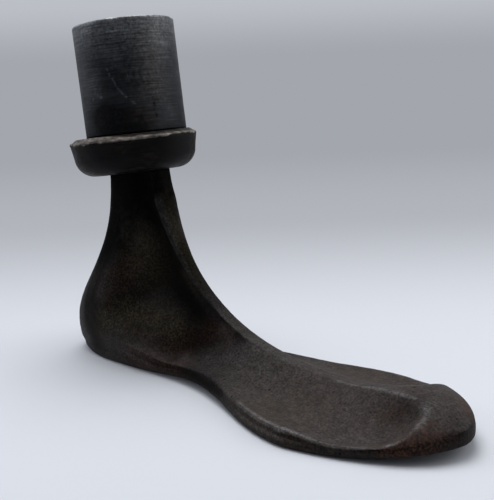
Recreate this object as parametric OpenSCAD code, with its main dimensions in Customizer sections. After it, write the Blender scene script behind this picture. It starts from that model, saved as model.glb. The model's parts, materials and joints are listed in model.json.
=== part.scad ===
// Iron shoe last on a leg. A cast foot stands on its sole, a collar ring sits on the leg's shoulder,
// and a turned spigot is driven over the leg's tenon and seats on the collar.
// Millimetres and degrees, +X to the toe, +Y to the foot's left, +Z up.
// The origin is on the floor, where the axis of the leaning spigot meets it.
// Places are measured along X from there.

/* [Spigot] */
// Outside diameter of the turned spigot
spigot_diameter = 50.8; // [46:0.1:56]
// Height of the spigot above the collar
spigot_height = 55; // [50:0.5:75]
// Chamfer round the spigot's top rim
spigot_chamfer = 0.8; // [0.3:0.1:3]
// Lean of the spigot and the leg towards the heel
spigot_lean = 7; // [0:0.5:10]
// Mouth of the lathe centre in the spigot's top face
centre_mouth = 7; // [3:0.5:12]
// Depth of the lathe centre
centre_depth = 5; // [2:0.5:8]

/* [Collar] */
// Diameter of the collar's top rim
collar_diameter = 65; // [63:0.5:74]
// Diameter of the collar's wall where the lower rounding starts
collar_foot_diameter = 62; // [56:0.5:63]
// Height of the collar ring
collar_height = 19.5; // [14:0.5:24]
// Fall of the collar's top from the spigot's seat to the rim
collar_fall = 1.5; // [0.5:0.25:3]
// Radius of the collar's lower edge
collar_edge = 10; // [2:0.5:11]
// How far the collar's rim lies behind the spigot's axis
collar_offset = 3.5; // [0:0.25:4]

/* [Tenon] */
// Diameter of the tenon on top of the leg
tenon_diameter = 18; // [14:0.5:19]
// Reach of the tenon into the spigot
tenon_reach = 42; // [25:0.5:46]
// Chamfer on the tenon's end
tenon_chamfer = 1.5; // [0.5:0.25:4]
// Clearance between the tenon and the bores, all round
tenon_clearance = 0.05; // [0.02:0.01:0.3]
// Room left above the tenon in the spigot's bore
tenon_end_room = 0.5; // [0.2:0.1:3]

/* [Leg] */
// Height of the leg's shoulder above the floor, along the leg
shoulder_height = 95.5; // [85:0.5:115]
// Reach of the neck in front of the axis
neck_front = 18.5; // [14:0.5:24]
// Reach of the neck behind the axis
neck_back = 20; // [14:0.5:24]
// Thickness of the neck across
neck_thickness = 23; // [22:0.5:30]
// Width of the flange down the leg's front, at the shoulder
flange_width = 14; // [8:0.5:18]
// Width of the spine where the leg turns into the foot
spine_width = 7; // [4:0.5:12]
// Radius of the corners of the flange and the spine
spine_round = 2.5; // [1:0.25:4]
// Slope of the leg's front from upright, at the shoulder
front_slope = 8; // [4:0.5:15]
// Length of the leg's front before it bends
front_run = 42; // [30:1:55]
// Slope of the leg's back from upright, at the shoulder
back_slope = 0; // [-8:0.5:8]
// Length of the leg's back before it bends
back_run = 42; // [25:1:55]

/* [Foot outline] */
// Reach of the toe in front of the axis
toe_reach = 185; // [176:1:210]
// Reach of the heel behind the axis
heel_reach = 55; // [48:0.5:70]
// Width of the heel
heel_width = 56; // [46:0.5:66]
// Width of the waist
waist_width = 46; // [38:0.5:56]
// Width of the ball, the widest place
ball_width = 84; // [70:0.5:100]
// Place of the heel's full width
heel_place = -20; // [-28:1:0]
// Place of the waist
waist_place = 45; // [30:1:60]
// Place of the ball
ball_place = 126; // [112:1:135]
// Pointedness of the toe: 2 is an ellipse, less is more pointed
toe_fullness = 1.3; // [1.1:0.05:2.5]
// Half the width of the flat left at the toe's tip
tip_half_width = 1.5; // [1:0.25:5]

/* [Foot profile] */
// Height at which the heel bulges furthest
heel_bulge = 11; // [8:0.5:20]
// Length of the heel's back above the bulge before it bends
heel_run = 20; // [10:1:30]
// Reach of the rounding under the heel's back, along the sole
heel_round = 8; // [5:0.5:20]
// Depth of the round corners at the heel's back
heel_corner = 26; // [18:0.5:30]
// Place where the leg's front turns into the foot's spine
instep_place = 75; // [68:1:84]
// Height of the spine at the instep
instep_height = 21; // [17:0.5:28]
// Fall of the spine at the instep
instep_slope = 15; // [8:0.5:20]
// Length of the spine behind the instep before it bends up
instep_run = 36; // [25:1:45]
// Height of the spine at its lowest, over the ball
spine_height = 15; // [12:0.5:20]
// Place of the nose's top
nose_place = 152; // [142:1:165]
// Height of the nose's top
nose_height = 18; // [14:0.5:24]
// Height of the toe's tip, at its top
tip_height = 11; // [9.5:0.5:18]
// Fall of the nose at the tip
tip_slope = 32; // [5:1:40]
// Place where the flat under the heel ends
heel_flat_end = 10; // [-10:1:25]
// Place of the arch's top
arch_place = 55; // [40:1:75]
// Rise of the arch under the waist
arch_rise = 2.5; // [0:0.25:6]
// Place where the flat under the ball starts
tread_start = 104; // [90:1:110]
// Place where the flat under the ball ends
tread_end = 130; // [118:1:140]
// Rise of the sole under the toe's tip
toe_spring = 5; // [0:0.25:8]
// Rise of the sole towards the tip
spring_slope = 12; // [0:1:20]

/* [Foot edge] */
// Height of the sole's upper edge above its underside
sole_edge = 7.5; // [6.5:0.25:10]
// Height of the nose's near edge above the underside
near_nose_edge = 4.5; // [3:0.25:9]
// Height of the nose's far edge above the underside
far_nose_edge = 9; // [7:0.25:10]
// Height of the plain band round the sole
sole_band = 4.5; // [3.5:0.25:5.5]
// Step of the band beyond the edge above it
band_step = 1; // [0.2:0.1:2]
// Radius of the sole's lower edge
sole_round = 2; // [0.5:0.25:3]
// Radius of the sole's upper edge
rim_round = 2.2; // [0.4:0.1:2.5]

/* [Scoops] */
// Pull of the near scoop's curve below the sole's upper edge
near_scoop = 3; // [0:0.25:4]
// Pull of the far scoop's curve below the sole's upper edge
far_scoop = 2; // [0:0.25:4]
// How far the spine's crest moves to the far side on its way to the nose
spine_shift = 3; // [0:0.25:3]
// Place where the near scoop ends against the nose
near_scoop_end = 172; // [160:1:177]
// Place where the far scoop ends against the nose
far_scoop_end = 154; // [142:1:165]
// Length over which a scoop climbs to the nose
scoop_climb = 11; // [5:0.5:20]
// How much sooner a scoop ends at its sides, which rounds its end
scoop_corner = 8; // [0:1:20]

/* [Hidden] */
$fn = 96;

// Numbers of cross-sections, and of steps along each stretch of half a section
LEG_STEPS = 42;
FOOT_STEPS = 60;
CORNER_STEPS = 2;
FLANK_STEPS = 12;
RIM_STEPS = 3;
END_STEPS = 5;

// Stations down the leg and round the heel: 0 is the shoulder and 1 the instep
LEG_STATION = 0.22;
BULGE_STATION = 0.44;
SOLE_STATION = 0.56;

// Shape of a flank between crest and edge: two control points, each a share across and a share down
NECK_FLANK = [-0.3, 0.3, 1, 0.5];
LEG_FLANK = [-0.7, 0.3, 1, 0.5];
HEEL_FLANK = [0, 0.3, 1, 0.55];
INSTEP_FLANK = [0.2, 0.25, 0.45, 1];
SCOOP_FLANK = [0.25, 0.25, 0.5, 1.1];
NEAR_NOSE_FLANK = [0.4, 0.05, 0.82, 0.4];
FAR_NOSE_FLANK = [0.4, 0.03, 0.95, 0.3];

// How late the leg swells to the heel, and how the stations crowd behind the heel's rounding
LEG_SWELL = 1.3;
SOLE_CROWD = 1.6;

// Half widths of the heel over which its round back turns into the sole's edge
HEEL_TURN = 2.7;

// Fullness of the heel's corners where the rounding meets the floor: 1 is an ellipse, less is fuller
HEEL_FULLNESS = 0.8;

// Plain wall on the leg between a flank and the round back, where the foot has the sole's edge
LEG_WALL = 9;

// Smallest sizes that the sections allow for: a half width, a crest, a rim, the steepness of a plane
LEAST_HALF = 1;
LEAST_CREST = 0.5;
LEAST_RIM = 0.2;
LEAST_STEEP = 0.3;

// Largest shares that a feature may take: of a half width, and the edge's share of a depth
STEP_SHARE = 1 / 8;
EDGE_SHARE = 0.5;
BAND_SHARE = 0.6;

// Shares of a section: the crest's flat, an edge's upper rounding, the band's slope and lower rounding,
// and the rim and the band of the leg's wall
CREST_FLAT = 1 / 3;
ROUND_SHARE = 0.3;
SLOPE_SHARE = 1 / 4;
LOWER_SHARE = 1 / 2;
WALL_RIM = 1 / 2;
WALL_BAND = 1 / 3;

// How square the scoop's end is in plan, and how late its floor curves up to the nose
END_SQUARENESS = 4;
BOWL_CURVE = 2;

// Station at which the flange has narrowed to the spine, and what is left of its corner on the foot
SPINE_STATION = 0.55;
SPINE_CORNER = 0.1;

// The two sides of the foot, and the places of their sizes in a row
SCOOP_PULL = 0;
SCOOP_END = 1;
NOSE_EDGE = 2;
NOSE_SHAPE = 3;
CREST_SHIFT = 4;
NEAR_SIDE = [near_scoop, near_scoop_end, near_nose_edge, NEAR_NOSE_FLANK, -spine_shift];
FAR_SIDE = [far_scoop, far_scoop_end, far_nose_edge, FAR_NOSE_FLANK, spine_shift];

// Sizes and points that follow from the ones above
UP_LEG = [-sin(spigot_lean), cos(spigot_lean)];
AHEAD = [cos(spigot_lean), sin(spigot_lean)];
LEG_FRONT = shoulder_height * UP_LEG + neck_front * AHEAD;
LEG_BACK = shoulder_height * UP_LEG - neck_back * AHEAD;
INSTEP = [instep_place, instep_height];
HEEL_BACK = [-heel_reach, heel_bulge];
HEEL_END = heel_round - heel_reach;
TENON_LENGTH = collar_height + tenon_reach;
BORE_DIAMETER = tenon_diameter + 2 * tenon_clearance;

function mix(a, b, t) = a + (b - a) * t;
function ease(t) = let (k = max(0, min(1, t))) k * k * (3 - 2 * k);
function rise(from, to, x) = ease((x - from) / (to - from));
function down(slope) = [sin(slope), -cos(slope)];

// Point on a cubic curve with four control points
function cubic(p, t) =
    let (s = 1 - t)
    s * s * s * p[0] + 3 * s * s * t * p[1] + 3 * s * t * t * p[2] + t * t * t * p[3];

// Value at x of a smooth curve through rows of [place, value, slope]
function along(rows, x) =
    let (i = max([0, for (k = [0 : len(rows) - 2]) if (x >= rows[k][0]) k]))
    let (a = rows[i], b = rows[i + 1], run = b[0] - a[0])
    let (t = max(0, min(1, (x - a[0]) / run)), s = 1 - t)
    a[1] * (1 + 2 * t) * s * s + b[1] * t * t * (3 - 2 * t) + run * t * s * (a[2] * s - b[2] * t);

// Height of the crest along the foot: down the spine and over the nose
function crest_height(x) = along([
    [instep_place, instep_height, -tan(instep_slope)],
    [ball_place, spine_height, 0],
    [nose_place, nose_height, 0],
    [toe_reach, tip_height, -tan(tip_slope)]
], x);

// Height of the sole's underside: flat at heel and ball, arched between them, sprung at the toe
function sole_height(x) = along([
    [-heel_reach, 0, 0],
    [heel_flat_end, 0, 0],
    [arch_place, arch_rise, 0],
    [tread_start, 0, 0],
    [tread_end, 0, 0],
    [toe_reach, toe_spring, tan(spring_slope)]
], x);

// Half the width of the foot's outline
function half_outline(x) =
    let (toe = max(0, min(1, (x - ball_place) / (toe_reach - ball_place))))
    let (rows = [
        [heel_place, heel_width / 2, 0],
        [waist_place, waist_width / 2, 0],
        [ball_place, ball_width / 2, 0]
    ])
    max(tip_half_width, along(rows, x) * sqrt(1 - pow(toe, toe_fullness)));

// Place of a station past the instep, closer together towards the tip
function foot_place(u) = mix(instep_place, toe_reach, sin(90 * max(0, u - 1)));

// Front profile: down the leg and along the crest
function front_at(u) =
    let (bend = [
        LEG_FRONT,
        LEG_FRONT + front_run * down(front_slope),
        INSTEP + instep_run * [-cos(instep_slope), sin(instep_slope)],
        INSTEP
    ])
    u <= 1 ? cubic(bend, u) : [foot_place(u), crest_height(foot_place(u))];

// Back profile: down the leg, round the heel and along the sole
function back_at(u) =
    let (bend = [
        LEG_BACK,
        LEG_BACK + back_run * down(back_slope),
        HEEL_BACK + [0, heel_run],
        HEEL_BACK
    ])
    let (turn = 90 * (u - BULGE_STATION) / (SOLE_STATION - BULGE_STATION))
    let (ahead = pow(max(0, u - SOLE_STATION) / (1 - SOLE_STATION), SOLE_CROWD))
    let (x = u <= 1 ? mix(HEEL_END, instep_place, ahead) : foot_place(u))
    u <= BULGE_STATION ? cubic(bend, u / BULGE_STATION)
    : u <= SOLE_STATION ? [HEEL_END - heel_round * cos(turn), heel_bulge * (1 - sin(turn))]
    : [x, sole_height(x)];

// Half the width at the outer end of a section
function outer_half(u) =
    u <= BULGE_STATION ? mix(neck_thickness, heel_width, pow(ease(u / BULGE_STATION), LEG_SWELL)) / 2
    : half_outline(back_at(u)[0]);

// How far a section has come along the heel from its back, in half widths of the heel
function heel_share(u) = u <= SOLE_STATION ? 0 : max(0, (back_at(u)[0] - HEEL_END) / (heel_width / 2));

// How full the corners of a section's outer end are
function end_fullness(u) =
    u <= SOLE_STATION ? mix(1, HEEL_FULLNESS, rise(BULGE_STATION, SOLE_STATION, u))
    : mix(HEEL_FULLNESS, 1, min(1, heel_share(u)));

// Half the width of the flat under the heel, as a share of the full width: a quarter round
function flat_share(u) = let (k = 1 - min(1, heel_share(u))) sqrt(1 - k * k);

// Control points of a flank, given its shape, its ends and the pull of a scoop
function flank_curve(shape, start, end, pull) = [
    start,
    [mix(start[0], end[0], shape[0]), mix(start[1], end[1], shape[1]) + pull],
    [mix(start[0], end[0], shape[2]), mix(start[1], end[1], shape[3]) + pull],
    end
];

// Shape of the flank down the leg and round the heel
function leg_flank(u) =
    u <= LEG_STATION ? mix(NECK_FLANK, LEG_FLANK, ease(u / LEG_STATION))
    : u <= SOLE_STATION ? mix(LEG_FLANK, HEEL_FLANK, rise(LEG_STATION, SOLE_STATION, u))
    : mix(HEEL_FLANK, INSTEP_FLANK, rise(SOLE_STATION, 1, u));

// How much of the nose has risen at a place, and at a share t of the way from crest to edge
function nose_share(x, t, side) =
    let (end = side[SCOOP_END] - scoop_corner * pow(2 * t - 1, END_SQUARENESS))
    pow(max(0, min(1, (x - end) / scoop_climb + 1)), BOWL_CURVE);

// Points of a flank after its start: plain on the leg, scooped along the foot, then full at the nose
function flank(u, start, end, side) =
    let (x = foot_place(u))
    let (deep = rise(instep_place, tread_start, x))
    let (scooped = flank_curve(mix(INSTEP_FLANK, SCOOP_FLANK, deep), start, end, side[SCOOP_PULL] * deep))
    let (full = flank_curve(side[NOSE_SHAPE], start, end, 0))
    let (plain = flank_curve(leg_flank(u), start, end, 0))
    [
        for (i = [1 : FLANK_STEPS])
            let (t = i / FLANK_STEPS)
            u <= 1 ? cubic(plain, t) : mix(cubic(scooped, t), cubic(full, t), nose_share(x, t, side))
    ];

// Points of a quarter round from one corner to another, leaving across and arriving down
function quarter(from, to, steps) = [
    for (i = [1 : steps])
        let (a = 90 * i / steps)
        [mix(from[0], to[0], sin(a)), mix(from[1], to[1], 1 - cos(a))]
];

// Points of half a section as [across, down], from the crest to the middle of the outer end.
// The outer end is a round back on the leg, and the sole with its edge and band along the foot.
function half_section(u, depth, steep, side) =
    let (x = foot_place(u), outer = outer_half(u), soled = ease(heel_share(u) / HEEL_TURN))
    let (nose = rise(ball_place, nose_place, x))
    let (back_depth = mix(neck_thickness / 2, heel_corner, ease(u / BULGE_STATION)))
    let (end_across = mix(outer - LEAST_HALF, min(sole_round, outer / 2), flat_share(u)))
    let (step = min(band_step, STEP_SHARE * outer) * soled * (1 - nose), wall = outer - step)
    let (edge = min(mix(sole_edge, side[NOSE_EDGE], nose), EDGE_SHARE * depth) / steep)
    let (band = min(sole_band / steep, BAND_SHARE * edge))
    let (end_depth = mix(back_depth, min(sole_round / steep, LOWER_SHARE * band), min(1, heel_share(u))))
    let (rounded = soled * (1 - nose_share(x, 1, side)))
    let (rim_across = mix(LEAST_RIM, min(rim_round, STEP_SHARE * outer), rounded))
    let (rim_depth = mix(WALL_RIM * LEG_WALL, min(rim_round, ROUND_SHARE * edge), soled))
    let (rim_down = depth - mix(back_depth + LEG_WALL, edge, soled))
    let (band_down = depth - mix(back_depth + WALL_BAND * LEG_WALL, band, soled))
    let (crest = mix(flange_width, spine_width, ease(u / SPINE_STATION)) / 2)
    let (shift = side[CREST_SHIFT] * rise(instep_place, nose_place, x))
    let (top = min(max(LEAST_CREST, crest + shift), outer / 2))
    let (corner = min(spine_round, top, rim_down / 2) * mix(1, SPINE_CORNER, rise(LEG_STATION, 1, u)))
    concat(
        [[0, 0], [CREST_FLAT * top, 0]],
        quarter([CREST_FLAT * top, 0], [top, corner], CORNER_STEPS),
        flank(u, [top, corner], [wall - rim_across, rim_down], side),
        quarter([wall - rim_across, rim_down], [wall, rim_down + rim_depth], RIM_STEPS),
        [[wall, band_down], [outer, band_down + SLOPE_SHARE * min(band, WALL_BAND * LEG_WALL)]],
        [for (i = [0 : END_STEPS]) let (a = 90 * i / END_STEPS, full = end_fullness(u))
            [outer - end_across * (1 - pow(cos(a), full)), depth - end_depth * (1 - pow(sin(a), full))]],
        [[0, depth]]
    );

// One closed cross-section of the casting in space
function section(u) =
    let (front = front_at(u), back = back_at(u))
    let (depth = norm(back - front), inward = (back - front) / depth)
    let (steep = max(LEAST_STEEP, -inward[1]))
    let (far = half_section(u, depth, steep, FAR_SIDE))
    let (near = half_section(u, depth, steep, NEAR_SIDE))
    let (outline = concat(far, [for (i = [len(near) - 2 : -1 : 1]) [-near[i][0], near[i][1]]]))
    [for (p = outline) [front[0] + inward[0] * p[1], p[0], front[1] + inward[1] * p[1]]];

// Ring of the tenon at a height above the shoulder, with one point for each point of the neck
function tenon_ring(neck, height, radius) =
    let (centre = (shoulder_height + height) * UP_LEG)
    [
        for (p = neck)
            let (turn = atan2(p[1], ([p[0], p[2]] - centre) * AHEAD))
            let (at = centre + radius * cos(turn) * AHEAD)
            [at[0], radius * sin(turn), at[1]]
    ];

// Solid through a row of closed sections with equal numbers of points
module loft(rings) {
    n = len(rings[0]);
    last = len(rings) - 1;
    sides = [
        for (k = [0 : last - 1], i = [0 : n - 1])
            let (j = (i + 1) % n, a = k * n, b = a + n)
            each [[a + i, a + j, b + j], [a + i, b + j, b + i]]
    ];
    first_cap = [for (i = [n - 1 : -1 : 0]) i];
    last_cap = [for (i = [0 : n - 1]) last * n + i];
    polyhedron([for (ring = rings) each ring], concat(sides, [first_cap, last_cap]), convexity = 10);
}

// Places its children on the leg's axis, at a height above the shoulder
module on_leg(height) {
    rotate([0, -spigot_lean, 0]) translate([0, 0, shoulder_height + height]) children();
}

// The foot, heel and leg, with the tenon on the shoulder
module last_casting() {
    stations = concat(
        [for (i = [0 : LEG_STEPS]) i / LEG_STEPS],
        [for (i = [1 : FOOT_STEPS]) 1 + i / FOOT_STEPS]
    );
    sections = [for (u = stations) section(u)];
    radius = tenon_diameter / 2;
    tenon = [
        tenon_ring(sections[0], TENON_LENGTH, radius - tenon_chamfer),
        tenon_ring(sections[0], TENON_LENGTH - tenon_chamfer, radius),
        tenon_ring(sections[0], 0, radius)
    ];
    color("#3b322b") loft(concat(tenon, sections));
}

// The ring on the leg's shoulder: its wall tapers down to a rounded lower edge
module collar() {
    rim = [collar_diameter / 2, collar_height - collar_fall];
    seat = [spigot_diameter / 2 + collar_offset, collar_height];
    round_centre = [collar_foot_diameter / 2 - collar_edge, collar_edge];
    reach = rim - round_centre;
    turn = atan2(reach[1], reach[0]) - acos(collar_edge / norm(reach));
    wall_foot = round_centre + collar_edge * [cos(turn), sin(turn)];
    color("#241f1b") on_leg(0) difference() {
        translate([-collar_offset, 0, 0]) rotate_extrude() union() {
            polygon([[0, 0], [round_centre[0], 0], round_centre, wall_foot, rim, seat, [0, collar_height]]);
            intersection() {
                translate(round_centre) circle(collar_edge);
                square([collar_diameter, collar_edge]);
            }
        }
        translate([0, 0, -collar_height]) cylinder(h = 3 * collar_height, d = BORE_DIAMETER);
    }
}

// The turned plug, with a blind bore for the tenon and the lathe centre in its top
module spigot() {
    radius = spigot_diameter / 2;
    color("#6f7780") on_leg(collar_height) difference() {
        rotate_extrude() polygon([
            [0, 0],
            [radius, 0],
            [radius, spigot_height - spigot_chamfer],
            [radius - spigot_chamfer, spigot_height],
            [centre_mouth / 2, spigot_height],
            [0, spigot_height - centre_depth]
        ]);
        translate([0, 0, -tenon_reach]) cylinder(h = 2 * tenon_reach + tenon_end_room, d = BORE_DIAMETER);
    }
}

last_casting();
collar();
spigot();
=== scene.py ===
"""Looks of an iron shoe last: a rusted cast foot on its leg, a black collar ring and a turned spigot.

Lengths in the classes are millimetres and angles are degrees. Blender's own units are metres.
A span is a pair of values: where something starts and where it is full. It may run downward.
"""

import json
import logging
import math
from dataclasses import dataclass
from enum import Enum, IntEnum
from typing import Any

import bmesh
import bpy
import numpy as np
from mathutils import Matrix, Vector, noise

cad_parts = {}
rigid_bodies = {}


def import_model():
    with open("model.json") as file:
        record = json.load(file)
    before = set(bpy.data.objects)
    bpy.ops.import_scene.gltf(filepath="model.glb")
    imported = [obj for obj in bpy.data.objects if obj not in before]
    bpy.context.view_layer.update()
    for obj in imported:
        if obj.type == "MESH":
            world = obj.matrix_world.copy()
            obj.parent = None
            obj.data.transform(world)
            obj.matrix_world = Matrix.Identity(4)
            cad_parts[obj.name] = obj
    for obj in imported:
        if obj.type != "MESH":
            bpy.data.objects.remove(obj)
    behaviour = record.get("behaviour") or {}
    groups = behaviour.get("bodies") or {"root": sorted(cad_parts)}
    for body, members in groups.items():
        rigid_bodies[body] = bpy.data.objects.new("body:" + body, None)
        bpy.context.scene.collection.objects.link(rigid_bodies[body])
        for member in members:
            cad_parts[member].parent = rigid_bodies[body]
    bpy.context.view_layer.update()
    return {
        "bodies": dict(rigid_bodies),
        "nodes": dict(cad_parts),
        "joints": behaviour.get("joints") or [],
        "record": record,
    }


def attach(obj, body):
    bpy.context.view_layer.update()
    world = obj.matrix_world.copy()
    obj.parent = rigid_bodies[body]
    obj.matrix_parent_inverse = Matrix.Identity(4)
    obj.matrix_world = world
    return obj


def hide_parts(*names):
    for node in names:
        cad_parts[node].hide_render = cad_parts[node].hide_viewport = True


LOG = logging.getLogger("shoe_last")

# Metres in a millimetre, and the length in millimetres below which two points are one.
MM = 0.001
SMALLEST = 0.001
PHOTO_SIZE = (494, 500)
BODY = "root"

Colour = tuple[float, float, float, float]
Place = tuple[float, float, float]
Path = tuple[Place, ...]
Span = tuple[float, float]
Socket = bpy.types.NodeSocket


class MixSocket(IntEnum):
    """Sockets of a colour mix node, whose names repeat."""

    FACTOR = 0
    FIRST = 6
    SECOND = 7
    RESULT = 2


class NumberMix(IntEnum):
    """Sockets of a number mix node."""

    FACTOR = 0
    FIRST = 2
    SECOND = 3
    RESULT = 0


class Mark(Enum):
    """Numbers between 0 and 1 that a mesh holds at its points for its finish."""

    # Worn bare edges, which also carry painted highlights, and the collar's rim painted as a lit top face.
    EDGE = "worn_edge_and_glint"
    HOLLOW = "hollow"
    RUST = "rust"
    OLIVE = "olive_grime"
    # Soot and grease, and painted shade in recesses, under the collar and on sides turned from the light.
    SOOT_AND_SHADE = "soot_and_shade"
    # Scratches on the spigot, and a painted highlight along the collar's lower edge.
    SCRATCH_AND_GLINT = "scratch_and_glint"
    # Dust, and painted light and sheen on faces and sides that catch the light.
    DUST_AND_SHEEN = "dust_and_sheen"


def linear(colour: str) -> Colour:
    """Turn an sRGB hex colour into linear values.

    Args:
        colour: A colour written as "#rrggbb".

    Returns:
        Linear red, green and blue, and an alpha of 1.
    """
    shares = [int(colour[i : i + 2], 16) / 255 for i in (1, 3, 5)]
    red, green, blue = (s / 12.92 if s <= 0.04045 else ((s + 0.055) / 1.055) ** 2.4 for s in shares)
    return red, green, blue, 1.0


def per_metre(size: float) -> float:
    """Scale of a texture whose features are about this many millimetres across."""
    return 1.0 / (size * MM)


def add_node(
    tree: bpy.types.NodeTree, kind: str, inputs: dict[Any, Any] | None = None, **settings: Any
) -> bpy.types.Node:
    """Add a node with its settings and links.

    Args:
        tree: The node tree that gets the node.
        kind: The node's type name.
        inputs: For each input, by name or number, the socket that it is linked to or its value.
        settings: The node's own properties.

    Returns:
        The new node.
    """
    node = tree.nodes.new(kind)
    for name, value in settings.items():
        setattr(node, name, value)
    for key, value in (inputs or {}).items():
        socket = node.inputs[int(key) if isinstance(key, IntEnum) else key]
        if isinstance(value, Socket):
            tree.links.new(value, socket)
        else:
            socket.default_value = value
    return node


def cleared_tree(owner: bpy.types.Material | bpy.types.World) -> bpy.types.NodeTree:
    """Take the node tree of a material or a world.

    Args:
        owner: The new material or world.

    Returns:
        Its node tree, with no nodes in it.
    """
    owner.use_nodes = True
    owner.node_tree.nodes.clear()
    return owner.node_tree


def points_of(mesh: bpy.types.Mesh) -> np.ndarray:
    """Read the points of a mesh.

    Args:
        mesh: The mesh.

    Returns:
        Its points in millimetres, one row each.
    """
    flat = np.empty(len(mesh.vertices) * 3)
    mesh.vertices.foreach_get("co", flat)
    return flat.reshape(-1, 3) / MM


def normals_of(mesh: bpy.types.Mesh) -> np.ndarray:
    """Read the normals at the points of a mesh.

    Args:
        mesh: The mesh.

    Returns:
        Its normals, one row each.
    """
    flat = np.empty(len(mesh.vertices) * 3)
    mesh.vertex_normals.foreach_get("vector", flat)
    return flat.reshape(-1, 3)


def move_points(mesh: bpy.types.Mesh, points: np.ndarray) -> None:
    """Put the points of a mesh at new places, given in millimetres."""
    mesh.vertices.foreach_set("co", (points * MM).ravel())
    mesh.update()


def set_mark(mesh: bpy.types.Mesh, mark: Mark, values: np.ndarray) -> None:
    """Store a mark at each point of a mesh."""
    attribute = mesh.attributes.new(mark.value, "FLOAT", "POINT")
    attribute.data.foreach_set("value", np.clip(values, 0, 1).astype(np.float32))


def ramp(values: np.ndarray, span: Span) -> np.ndarray:
    """Share of a span that values have gone, between 0 and 1."""
    start, end = span
    return np.clip((values - start) / (end - start), 0, 1)


def bump_round(gap: np.ndarray, reach: float) -> np.ndarray:
    """Smooth bump that is 1 at no gap and fades out over its reach."""
    return np.exp(-((gap / reach) ** 2))


@dataclass(frozen=True)
class Ripple:
    """Smooth unevenness with features of a size. The seed picks another pattern."""

    size: float
    seed: float

    def at(self, points: np.ndarray) -> np.ndarray:
        """Values between -1 and 1 at points in millimetres."""
        return np.array([noise.noise(Vector(point)) for point in points / self.size + self.seed])


def gap_to_path(points: np.ndarray, corners: np.ndarray) -> np.ndarray:
    """Measure the distance from points to a path.

    Args:
        points: Points, one row each.
        corners: Corners of the path, one row each. A single corner is a spot.

    Returns:
        One distance for each point.
    """
    gap = np.linalg.norm(points - corners[0], axis=1)
    for start, end in zip(corners, corners[1:]):
        run = end - start
        share = np.clip((points - start) @ run / (run @ run), 0, 1)
        gap = np.minimum(gap, np.linalg.norm(points - start - share[:, None] * run, axis=1))
    return gap


def smoothed_points(mesh: bpy.types.Mesh, passes: int) -> np.ndarray:
    """Find the points of a mesh after its surface is smoothed.

    Args:
        mesh: The mesh, which stays as it is.
        passes: How often each point moves half way to the middle of its neighbours.

    Returns:
        The moved points in millimetres, one row each.
    """
    points = points_of(mesh)
    ends = np.empty(len(mesh.edges) * 2, dtype=np.int64)
    mesh.edges.foreach_get("vertices", ends)
    first, second = ends.reshape(-1, 2).T
    count = len(points)
    neighbours = np.bincount(first, minlength=count) + np.bincount(second, minlength=count)
    for _ in range(passes):
        for axis in range(3):
            column = points[:, axis]
            total = np.bincount(first, column[second], count) + np.bincount(second, column[first], count)
            points[:, axis] = (column + total / neighbours) / 2
    return points


def relief(mesh: bpy.types.Mesh, passes: int) -> np.ndarray:
    """Height of each point over the smoothed surface: ridges above 0, hollows below."""
    return ((points_of(mesh) - smoothed_points(mesh, passes)) * normals_of(mesh)).sum(axis=1)


@dataclass(frozen=True)
class Layer:
    """A colour that lies over a finish where a mark is.

    It covers a share of the surface there, has its own roughness, and is broken up by the finish's mottle,
    or by its grain where it lies in fine flecks.
    """

    mark: Mark
    colour: str
    roughness: float
    cover: float = 1.0
    broken: float = 0.5
    flecks: bool = False


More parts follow.
